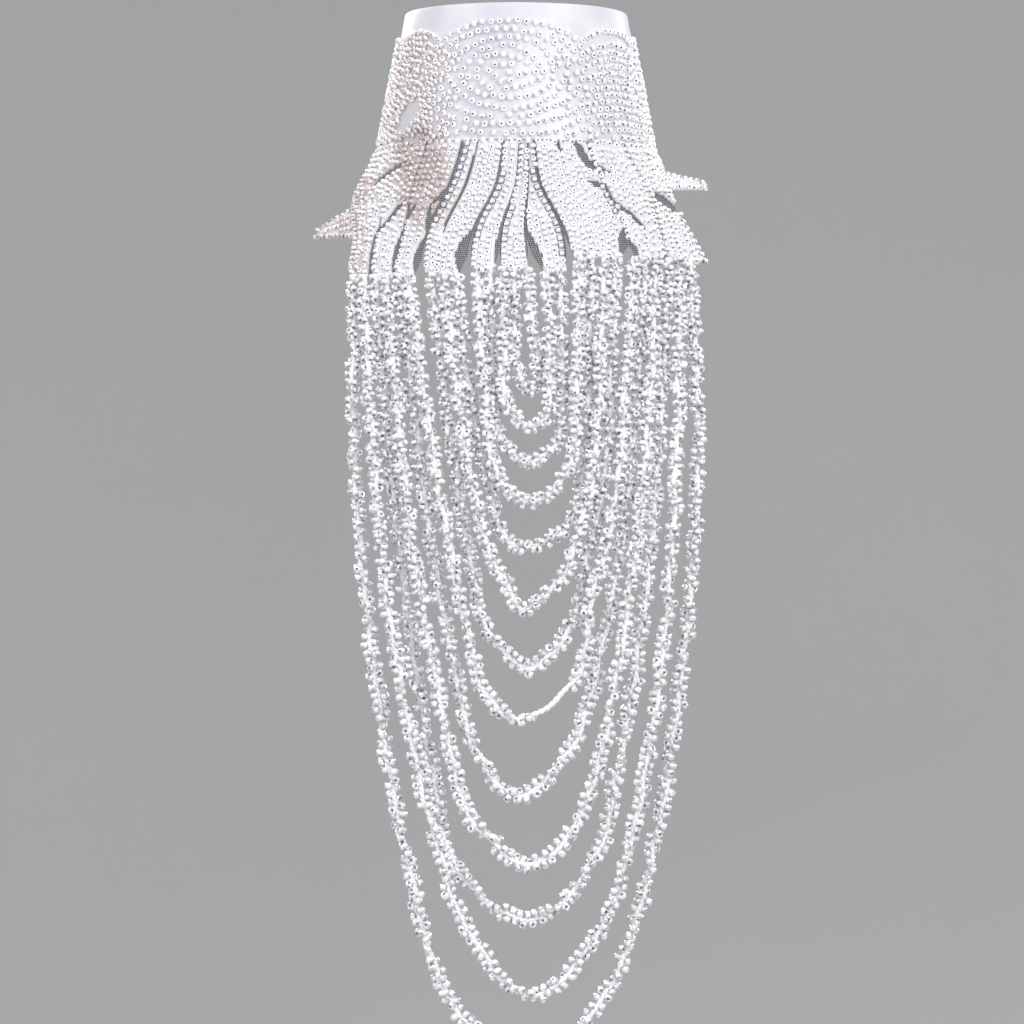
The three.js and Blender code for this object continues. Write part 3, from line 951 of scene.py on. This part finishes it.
def slanted_rows(zone):
    """Straight rows, side by side, that lean as the leaf does."""
    lean = unit(np.array(BARE_LEAF["lean"]))
    along = np.arange(-SLANTED_REACH, SLANTED_REACH, ROW_STEP["mm"])
    for off in np.arange(-SLANTED_REACH, SLANTED_REACH, zone["row"]):
        turns = BARE_LEAF["turn"] + (along * lean[0] + off * lean[1]) / ROUND_MM
        yield turns, BARE_LEAF["up"] + along * lean[1] - off * lean[0]


def scalloped_rows(zone):
    """Rows that follow the scallops and flatten towards the foot."""
    turns = np.arange(zone["from"], zone["to"], ROW_STEP["degrees"])
    rise = outer_row(turns) - BOTTOM_ROW
    count = round(rise.max() / zone["row"])
    for k in range(count - 1, 0, -1):
        yield turns, BOTTOM_ROW + rise * k / count


def spiral_rows(zone):
    """One long row that winds inwards."""
    angle = np.arange(0, 2 * np.pi * SPIRAL["outer_rise"] / zone["row"], ROW_STEP["radians"])
    rise = SPIRAL["outer_rise"] - zone["row"] * angle / (2 * np.pi)
    rise += SPIRAL["ripple"] * np.sin(SPIRAL["ripples"] * angle)
    turn = SPIRAL["turn"] - SPIRAL["stretch"] * rise * np.cos(angle) / ROUND_MM
    yield turn, SPIRAL["up"] + rise * np.sin(angle)


ROWS = {"slanted": slanted_rows, "scalloped": scalloped_rows, "spiral": spiral_rows}


def make_scrolls(materials, crowd):
    beads = Sowing("bead_scrolls", crowd)

    def sow(zone, turns, ups, way):
        here = (turns >= zone["from"]) & (turns < zone["to"]) & ~is_bare(turns, ups)
        turns, ups = turns[here], ups[here]
        if len(turns) > 1:
            path = round_neck(turns, band_radius(ups) + COLLAR_BEAD_LIFT, ups)
            way(path, round_neck(turns, 1.0, 0.0), zone["bead"])

    turns = np.arange(-EMBROIDERY_TURN, EMBROIDERY_TURN, ROW_STEP["degrees"])
    for ups in (outer_row(turns), BOTTOM_ROW + 0 * turns):
        for zone in COLLAR_ZONES:
            sow(zone, turns, ups, beads.row)
    for zone in COLLAR_ZONES:
        for turns, ups in ROWS[zone["rows"]](zone):
            sow(zone, turns, ups, beads.row)
    turns = beads.random.uniform(-SCATTER["turn"], SCATTER["turn"], SCATTER["tries"])
    ups = beads.random.uniform(*SCATTER["up"], SCATTER["tries"])
    for zone in COLLAR_ZONES:
        sow(zone, turns, ups, beads.fill)
    gathered = Joined()
    beads.give(gathered, BEAD)
    settle(gathered.make("bead_scrolls", [materials["collar_bead"]]), "scroll_applique")


# ------------------------------------------------------------------ tongues

TONGUE_BEAD = {"diameter": 2.55, "room": 2.6, "outward": 0.35, "stray": 0.14}
BEAD_LIFT = TONGUE_LIFT + 0.95
ROWS_DOWN = {"apart": 2.75, "top": 0.9, "step": 0.3, "from_edge": 1.0}  # a tongue's rows of beads
GAP_FILLING = {"shares": (0.03, 0.97), "tries": 900}  # where beads are tried between the rows
TIP_SHAPE = {"short": 0.8, "rounding": 3.2}  # how far the beads stop above a tip, and at its corners

# The sewn ground under the beads, which goes right through the net. It stops a share of the
# tongue's width from each edge.
GROUND = {"lift": 1.2, "thickness": 1.4, "cell": 1.0, "edge": 0.02}

# Where a tongue's beadwork stops short of its edge and only the net goes on: between two drops,
# by so many millimetres at the deepest.
NET_MARGINS = [
    {"tongue": 1, "side": "right", "from": 34, "to": 63, "inset": 1.9},
    {"tongue": 2, "side": "right", "from": 37, "to": 58, "inset": 2.2},
    {"tongue": 3, "side": "right", "from": 42, "to": 60, "inset": 2.8},
    {"tongue": 4, "side": "right", "from": 38, "to": 60, "inset": 4.2},
    {"tongue": 5, "side": "right", "from": 40, "to": 57, "inset": 1.2},
    {"tongue": 7, "side": "left", "from": 39, "to": 59, "inset": 3.2},
    {"tongue": 8, "side": "right", "from": 36, "to": 54, "inset": 4.2},
]

# Windows in the beadwork: a line from one share of the tongue's width and drop to another.
NET_WINDOWS = [
    {"tongue": 1, "from": (0.54, 18.6), "to": (1.04, 9.6), "half_width": 2.0},
    {"tongue": 2, "from": (-0.1, 12), "to": (0.4, 8), "half_width": 1.6},
    {"tongue": 2, "from": (-0.15, 41), "to": (0.9, 24.5), "half_width": 1.5},
    {"tongue": 3, "from": (-0.05, 35), "to": (0.25, 26), "half_width": 1.2},
    {"tongue": 3, "from": (1.02, 21), "to": (0.72, 30), "half_width": 1.2},
    {"tongue": 3, "from": (0.72, 28), "to": (1.02, 39), "half_width": 1.2},
    {"tongue": 4, "from": (0.34, -2), "to": (0.33, 42), "half_width": 0.95},
    {"tongue": 8, "from": (0.40, -1), "to": (0.46, 5.5), "half_width": 1.1},
    {"tongue": 8, "from": (0.76, -1), "to": (0.93, 13), "half_width": 2.3},
    {"tongue": 8, "from": (0.74, 17.5), "to": (1.05, 20), "half_width": 1.5},
    {"tongue": 9, "from": (-0.1, 9), "to": (0.28, 14), "half_width": 1.2},
    {"tongue": 9, "from": (-0.1, 24), "to": (0.6, 38), "half_width": 1.5},
    {"tongue": 9, "from": (0.02, 44), "to": (0.10, 52), "half_width": 2.0},
    {"tongue": 10, "from": (0.12, 22), "to": (1.05, 28), "half_width": 3.5},
]

WINDOW_EDGE = 0.8  # the share of a margin that beads keep from a window

# Where beads close the seam between a tongue and the next: between two drops.
SEAMS = [{"tongue": 8, "from": 1, "to": 18}, {"tongue": 8, "from": 25, "to": 42}]
SEAM_OUTSIDE = 0.6  # from the tongue's edge to the seam's beads

# Rows of larger square stones along one edge of a tongue, between two drops.
STONE_ROWS = [
    {"tongue": 4, "side": "left", "from": 1.5, "to": 35},
    {"tongue": 5, "side": "left", "from": 15, "to": 42},
    {"tongue": 6, "side": "left", "from": 30, "to": 44},
    {"tongue": 7, "side": "right", "from": 14, "to": 50},
    {"tongue": 8, "side": "right", "from": 20, "to": 31},
    {"tongue": 10, "side": "right", "from": 33, "to": 51},
]
STONE = {"across": 2.6, "pitch": 3.5, "step": 0.5, "inset": 1.3, "middle": 0.9, "room": 0.58}
FINISHES = ["collar_bead", "stone", "cup"]  # on a tongue, in the order of its material slots
LEANS_UP = 0.25  # how much the skin faces upwards under the tongues


def skin_normal(spots):
    width, depth = skin_at(-spots[:, 2])
    return unit(stack(spots[:, 0] / width**2, spots[:, 1] / depth**2, LEANS_UP / width))


def tongue_edges(number, drop):
    return [tongue_edge(number, side, drop) for side in ("left", "right")]


def tongue_at(number, share, drop, lift):
    """Points on a tongue, a share of the way from its left edge to its right edge."""
    left, right = tongue_edges(number, drop)
    return on_skin(left + (right - left) * share, drop, lift)


def tongue_width(number, drop):
    left, right = tongue_edges(number, drop)
    width, depth = skin_at(drop)
    return np.radians(right - left) * (width + depth) / 2


def beaded(number, share, drop, margin=0.0):
    """Whether there is beadwork at each spot, a margin away from its edges."""
    width = tongue_width(number, drop)
    tip = TONGUES[number - 1]["tip"] - TIP_SHAPE["short"]
    kept = drop < tip - TIP_SHAPE["rounding"] * (2 * share - 1) ** 2 - margin
    sides = {"left": share * width, "right": (1 - share) * width}
    for row in NET_MARGINS:
        if row["tongue"] == number:
            within = np.clip((drop - row["from"]) / (row["to"] - row["from"]), 0, 1)
            kept &= sides[row["side"]] > row["inset"] * np.sin(np.pi * within) + margin
    for row in NET_WINDOWS:
        if row["tongue"] == number:
            (share_a, drop_a), (share_b, drop_b) = row["from"], row["to"]
            middle_width = tongue_width(number, (drop_a + drop_b) / 2)
            run = np.array([(share_b - share_a) * middle_width, drop_b - drop_a])
            x, y = (share - share_a) * middle_width, drop - drop_a
            along = (x * run[0] + y * run[1]) / (run @ run)
            off = np.abs(x * run[1] - y * run[0]) / np.linalg.norm(run)
            taper = np.sqrt(np.clip(4 * along * (1 - along), 0, 1))
            reach = row["half_width"] * taper + margin * WINDOW_EDGE
            kept &= ~((along > 0) & (along < 1) & (off < reach))
    return kept


def set_stones(number, gathered, crowd, random):
    """Rows of square stones in their cups along a tongue's edges."""
    for row in STONE_ROWS:
        if row["tongue"] != number:
            continue
        drops = np.arange(row["from"], row["to"], STONE["step"])
        inset = STONE["inset"] / tongue_width(number, drops)
        share = inset if row["side"] == "left" else 1 - inset
        path, _ = evenly(tongue_at(number, share, drops, TONGUE_LIFT), STONE["pitch"])
        normals, runs = skin_normal(path), unit(np.gradient(path, axis=0))
        for spot in path + normals * STONE["middle"]:
            crowd.add(spot, STONE["across"] * STONE["room"])
        count = len(path)
        turns = turned(normals, runs, np.zeros(count))
        size = np.full((count, 1), STONE["across"])
        tones = random.random(count)
        gathered.add(STONE_CUP, turns, path, size, FINISHES.index("cup"), tone=0.5, warmth=0)
        gathered.add(STONE_CUT, turns, path, size, FINISHES.index("stone"), tones, warmth=0)


def outside_in(count):
    """The numbers of a tongue's or a wing's rows, the outermost first."""
    return sorted(range(count), key=lambda k: -abs(k - (count - 1) / 2))


def sewn_ground(name, number, widest, material):
    """The ground of one tongue, which carries the same warmth as the beads on it."""
    tip, edge = TONGUES[number - 1]["tip"], GROUND["edge"]

    def on_tongue(along, up):
        return edge + (1 - 2 * edge) * along, GAP + (tip - GAP) * (1 - up)

    def place(along, up):
        return tongue_at(number, *on_tongue(along, up), GROUND["lift"])

    def bare(along, up):
        return ~beaded(number, *on_tongue(along, up))

    ground = bent_sheet(
        name, math.ceil(widest / GROUND["cell"]), math.ceil(tip / GROUND["cell"]), place,
        (widest, tip), material, GROUND["thickness"], bare,
    )
    spots = np.array([v.co[:] for v in ground.data.vertices]) / MM
    layer = ground.data.attributes.new("warmth", "FLOAT", "POINT")
    layer.data.foreach_set("value", warmth_at(spots).astype(np.float32))
    return ground


def make_tongue(number, materials, crowd):
    name = f"beaded_tongue_{number:02d}"
    tip, top = TONGUES[number - 1]["tip"], ROWS_DOWN["top"]
    gathered = Joined()
    beads = Sowing(name, crowd)

    def sow(share, drop, way):
        path = tongue_at(number, share, drop, BEAD_LIFT)
        way(path, skin_normal(path), TONGUE_BEAD)

    set_stones(number, gathered, crowd, beads.random)
    for seam in (row for row in SEAMS if row["tongue"] == number):
        drops = np.arange(seam["from"], seam["to"], ROWS_DOWN["step"])
        sow(1 + SEAM_OUTSIDE / tongue_width(number, drops), drops, beads.row)
    drops = np.arange(top, tip, ROWS_DOWN["step"])
    widest = tongue_width(number, drops).max()
    rows = max(2, round(widest / ROWS_DOWN["apart"]))
    for k in outside_in(rows):
        share = (k + 0.5) / rows + 0 * drops
        here = beaded(number, share, drops, ROWS_DOWN["from_edge"])
        sow(share[here], drops[here], beads.row)
    share = beads.random.uniform(*GAP_FILLING["shares"], GAP_FILLING["tries"])
    drops = beads.random.uniform(top, tip, GAP_FILLING["tries"])
    here = beaded(number, share, drops, ROWS_DOWN["from_edge"])
    sow(share[here], drops[here], beads.fill)
    beads.give(gathered, BEAD)
    beadwork = gathered.make(name, [materials[finish] for finish in FINISHES])
    ground = sewn_ground(name + "_ground", number, widest, materials["ground"])
    settle(joined_objects(name, [beadwork, ground]), f"tongue_{number:02d}")


# ------------------------------------------------------------------ wings

# How far a wing's root stands off its tongue, about how far across it is, how far apart the rows
# of beads are, how many places are tried along each, and the share of the wing's length they cover.
WING = {"off_tongue": 0.6, "root_across": 70, "row": 2.8, "tries": 120, "covered": (0.03, 0.98)}
# Where a wing's ground begins and how much of it there is, as shares of its length and height.
WING_GROUND = {"begins": (0.02, 0.06), "covers": (0.95, 0.88), "cells": (14, 6)}


def make_wing(row, materials, crowd):
    """A stiff beaded point that stands out from the edge of a tongue."""
    name = "beaded_" + row["name"]
    x, depth, upper_tip, lower_tip = row["tip"]
    upper, lower = row["root"]
    side = math.copysign(1, x)
    away = np.array([side, -1, 0]) / math.sqrt(2)
    edge = "left" if side < 0 else "right"

    def place(along, up, lift):
        drop = lower + (upper - lower) * up
        root = tongue_edge(row["tongue"], edge, drop) + side * WING["off_tongue"]
        start = on_skin(root, drop, lift)
        end = stack(x, -depth, -(lower_tip + (upper_tip - lower_tip) * up)) + away * lift
        return start + (end - start) * np.asarray(along)[..., None]

    beads = Sowing(name, crowd)
    rows = max(2, round((lower - upper) / WING["row"]))
    along = np.linspace(*WING["covered"], WING["tries"])
    for k in outside_in(rows):
        path = place(along, (k + 0.5) / rows + 0 * along, BEAD_LIFT)
        beads.row(path, np.broadcast_to(away, path.shape), TONGUE_BEAD)
    gathered = Joined()
    beads.give(gathered, BEAD)
    beadwork = gathered.make(name, [materials["collar_bead"]])

    def place_ground(along, up):
        """The left one runs the other way, so that its wall grows inwards too."""
        from_root = along if side > 0 else 1 - along
        (start, foot), (length, height) = WING_GROUND["begins"], WING_GROUND["covers"]
        return place(start + length * from_root, foot + height * up, GROUND["lift"])

    size = (abs(x) - WING["root_across"], lower - upper)
    ground = bent_sheet(
        name + "_ground", *WING_GROUND["cells"], place_ground, size, materials["ground"],
        GROUND["thickness"],
    )
    settle(joined_objects(name, [beadwork, ground]), row["name"])


# ------------------------------------------------------------------ net

# The drop at which air begins between each tongue and the next. Above it the net closes the gap,
# and below it the net ends in a narrow margin beside each tongue.
GAP_TOPS = [58, 58, 44, 42, 42, 41, 42.5, 47, 52]
NET = {"margin": 0.9, "tuck": 3.0, "taper": 9, "short": 1.5, "flare": 2, "lift": 0.08, "cell": 2.2}


def net_edges(number, drops):
    """Where the net of one tongue begins and ends, in degrees."""
    width, _ = skin_at(drops)
    tip = TONGUES[number - 1]["tip"]
    tucked = np.clip((drops - tip + NET["taper"]) / NET["taper"], 0, 1)
    margin = (NET["margin"] - tucked * NET["tuck"]) / np.radians(width)
    edges = []
    for side, other_side, way in (("left", "right", -1), ("right", "left", 1)):
        own = tongue_edge(number, side, drops)
        reach = own + way * margin
        if 1 <= number + way <= len(TONGUES):
            middle = (own + tongue_edge(number + way, other_side, drops)) / 2
            closed = drops < GAP_TOPS[min(number, number + way) - 1]
            reach = np.where(closed | ((middle - own) * way < margin), middle, reach)
        edges.append(reach)
    return edges


def net_strip(number, material):
    """The net behind one tongue and beside it."""
    tip = TONGUES[number - 1]["tip"] - NET["short"]

    def place(along, up):
        drops = GAP + (tip - GAP) * (1 - up)
        left, right = net_edges(number, drops)
        return on_skin(left + (right - left) * along, drops, NET["lift"])

    widest = tongue_width(number, np.linspace(0, tip, 9)).max() + NET["flare"]
    columns, rows = math.ceil(widest / NET["cell"]), math.ceil(tip / NET["cell"])
    return bent_sheet(f"net_{number}", columns, rows, place, (widest, tip), material)


def make_net(materials):
    strips = [net_strip(number, materials["tulle"]) for number in range(1, len(TONGUES) + 1)]
    piece = joined_objects("tulle_net", strips)
    settle(piece, "net_yoke")


# ------------------------------------------------------------------ strands

CORE = {"plies": 2, "ply_radius": 0.82, "ply_offset": 0.5, "lay": 5.4, "step": 1.1, "room": 0.7}
OVERLAP = 2.5  # how far a strand is sewn down over the tip of its tongue
ROUTE_STEP = 2.0  # between the points that a route is worked out at

# Beads on a strand where it hangs free, and where it runs crowded beside others: their
# diameter, how thick they are for it, how far apart along the strand, the share of them threaded
# along it, so that they show edge on, and how far they stray round the core, in radians.
FREE = {"diameter": 3.95, "squash": 1.0, "pitch": 1.75, "edge_on": 0.62, "stray": 0.4}
CROWDED = {"diameter": 3.6, "squash": 0.88, "pitch": 1.1, "edge_on": 0.7, "stray": 1.1}
PARTING = {"from": -170, "to": -225}  # the heights between which one gives way to the other

# How every bead is threaded: how far the first and last are from the ends, the spread of sizes and
# pitches, the turns round the core tried one after another until one has room, how far a bead's
# middle is from the core's besides a share of its diameter, the share that it keeps to itself,
# how it strays outwards and tips, and the draw above which its hole faces out.
THREADING = {
    "from_end": 0.8, "sizes": (0.92, 1.06), "pitches": (0.8, 1.2),
    "turns": (0, 0.55, -0.55, 1.1, -1.1, 1.6), "stand": 0.8, "stand_share": 0.33, "room": 0.34,
    "stray": 0.12, "tilt": 0.25, "hole_out": 0.85,
}
WARMEST_STRAND_BEAD = 0.15
# Where a strand has lost its beads: between two places across, at its foot.
BARE_CORES = [{"strand": 8, "from": 7, "to": 22, "below": -228}]

# Slow waves that a strand's route and the sides its beads lie on follow: the shortest and the
# longest length of each. The sway is in millimetres and the twist in radians. The sway grows over
# so many millimetres below the tongues, and is weaker up and down.
SWAY = {"size": 0.4, "waves": [(14, 22), (26, 44)], "grows_over": 30, "upright": 0.7}
TWIST = {"size": 0.75, "waves": [(26, 44), (70, 130)]}


def wander(random, along, drift):
    """A smooth random drift along a route."""
    total = 0 * along
    for shortest, longest in drift["waves"]:
        length, start = random.uniform(shortest, longest), random.uniform(0, 6.3)
        total += drift["size"] * np.sin(2 * np.pi * along / length + start)
    return total


def strand_route(number):
    """A strand's route from one tongue to the other, and how far along it each point is."""
    row = STRANDS[number - 1]
    low_x, low_z = row["low"]
    legs = []
    for xs, tongue in zip((row["left"], row["right"]), row["tongues"]):
        top = -(TONGUES[tongue - 1]["tip"] + GAP + STUB)
        legs.append([(x, low_z + (top - low_z) * height) for x, height in zip(xs, LEG_HEIGHTS)])
    flat = smooth_path(np.array([*legs[0], (low_x, low_z), *reversed(legs[1])], float))
    x, z = evenly(flat, ROUTE_STEP)[0].T
    parted = np.clip((min(z[0], z[-1]) - z) / LAYER["parting_drop"], 0, 1)
    parted = parted * parted * (3 - 2 * parted)
    side = -1 if number % 2 else 1
    layer = side * (LAYER["top"] + (LAYER["free"] - LAYER["top"]) * parted)
    y = -(skin_depth(x, -z) + TONGUE_LIFT + TONGUE_THICKNESS / 2 + layer)
    random, at = dice(f"route_{number:02d}"), ROUTE_STEP * np.arange(len(x))
    free = np.clip((z.max() - z) / SWAY["grows_over"], 0, 1)
    x = x + free * wander(random, at, SWAY)
    z = z + free * wander(random, at, SWAY) * SWAY["upright"]
    spots = stack(x, y, z)
    rise = np.array([0, 0, STUB + GAP + OVERLAP])
    path = smooth_path(np.vstack([spots[:1] + rise, spots, spots[-1:] + rise]), per_span=6)
    return evenly(path, CORE["step"])


def route_frames(path):
    """The tangent, the way across and the way out from the chest, along a route."""
    tangent = unit(np.gradient(path, axis=0))
    width, depth = skin_at(-path[:, 2])
    out = stack(path[:, 0] / width**2, path[:, 1] / depth**2, 0.0)
    out = unit(out - (out * tangent).sum(1, keepdims=True) * tangent)
    return tangent, np.cross(tangent, out), out


def twisted_core(name, path, along, across, out, material):
    phase = 2 * np.pi * along / CORE["lay"]
    plies = []
    for ply in range(CORE["plies"]):
        angle = (phase + 2 * np.pi * ply / CORE["plies"])[:, None]
        plies.append(path + CORE["ply_offset"] * (across * np.cos(angle) + out * np.sin(angle)))
    return tube_object(name, plies, CORE["ply_radius"], material)


def is_bare_core(number, spot):
    return any(
        row["strand"] == number and row["from"] < spot[0] < row["to"] and spot[2] < row["below"]
        for row in BARE_CORES
    )


def bead_at(height):
    """What beads are like at a height: crowded above the parting and free below it."""
    free = np.clip((PARTING["from"] - height) / (PARTING["from"] - PARTING["to"]), 0, 1)
    return {word: CROWDED[word] + (FREE[word] - CROWDED[word]) * free for word in FREE}


def thread_beads(number, path, along, frames, random, crowd):
    """The spots, axes and sizes of a strand's beads, which take turns on the core's two sides."""
    tangent, across, out = frames
    twist = wander(random, along, TWIST)
    spots, axes, sizes = [], [], []
    station, side = THREADING["from_end"], 0
    while station < along[-1] - THREADING["from_end"]:
        i = int(np.searchsorted(along, station))
        bead = bead_at(path[i, 2])
        diameter = bead["diameter"] * random.uniform(*THREADING["sizes"])
        first = twist[i] + math.pi * side + random.normal(0, bead["stray"])
        reach = THREADING["stand"] + diameter * THREADING["stand_share"]
        radius = diameter * THREADING["room"]
        for turn in [] if is_bare_core(number, path[i]) else THREADING["turns"]:
            way = across[i] * math.cos(first + turn) + out[i] * math.sin(first + turn)
            spot = path[i] + way * (reach + random.normal(0, THREADING["stray"]))
            if not crowd.room(spot, radius, f"core_{number}"):
                continue
            crowd.add(spot, radius)
            pick = random.random()
            if pick < bead["edge_on"]:
                axis = tangent[i]
            elif pick > THREADING["hole_out"]:
                axis = way
            else:
                axis = np.cross(tangent[i], way)
            spots.append(spot)
            axes.append(axis + random.normal(0, THREADING["tilt"], 3))
            sizes.append((diameter, diameter, diameter * bead["squash"]))
            break
        station += bead["pitch"] * random.uniform(*THREADING["pitches"])
        side = 1 - side
    return np.array(spots), np.array(axes), np.array(sizes)


def make_strand(number, path, along, materials, crowd):
    name = f"strand_beads_{number:02d}"
    random, frames = dice(name), route_frames(path)
    _, across, out = frames
    core = twisted_core(name + "_core", path, along, across, out, materials["thread"])
    spots, axes, sizes = thread_beads(number, path, along, frames, random, crowd)
    turns = turned_anyhow(axes, random)
    warmth = WARMEST_STRAND_BEAD * random.random(len(spots)) ** 3
    tones = random.random(len(spots))
    gathered = Joined()
    gathered.add(SMALL_BEAD, turns, spots, sizes, 0, tones, warmth)
    beads = gathered.make(name, [materials["strand_bead"]])
    settle(joined_objects(name, [beads, core]), f"strand_{number:02d}")


def make_strands(materials, crowd):
    routes = {number: strand_route(number) for number in range(1, len(STRANDS) + 1)}
    for number, (path, _) in routes.items():
        for spot in path[::2]:
            crowd.add(spot, CORE["room"], f"core_{number}")
    for number, (path, along) in routes.items():
        make_strand(number, path, along, materials, crowd)


# ------------------------------------------------------------------ the scene

make_camera()
make_lights()
bpy.context.scene.view_settings.view_transform = "Standard"
MATERIALS = make_materials()
make_backdrop(MATERIALS["paper"])
BEAD = bead_shape(sides=8)
SMALL_BEAD = bead_shape(sides=7)
STONE_CUP = square_cut(lower=0.5, upper=0.72, foot=0.0, depth=0.36)
STONE_CUT = square_cut(lower=0.62, upper=0.40, foot=0.36, depth=0.26)
CROWD = Crowd()
make_satin_band(MATERIALS)
make_clasp(MATERIALS)
make_scrolls(MATERIALS, CROWD)
for number in range(1, len(TONGUES) + 1):
    make_tongue(number, MATERIALS, CROWD)
for wing in WINGS:
    make_wing(wing, MATERIALS, CROWD)
make_net(MATERIALS)
make_strands(MATERIALS, CROWD)
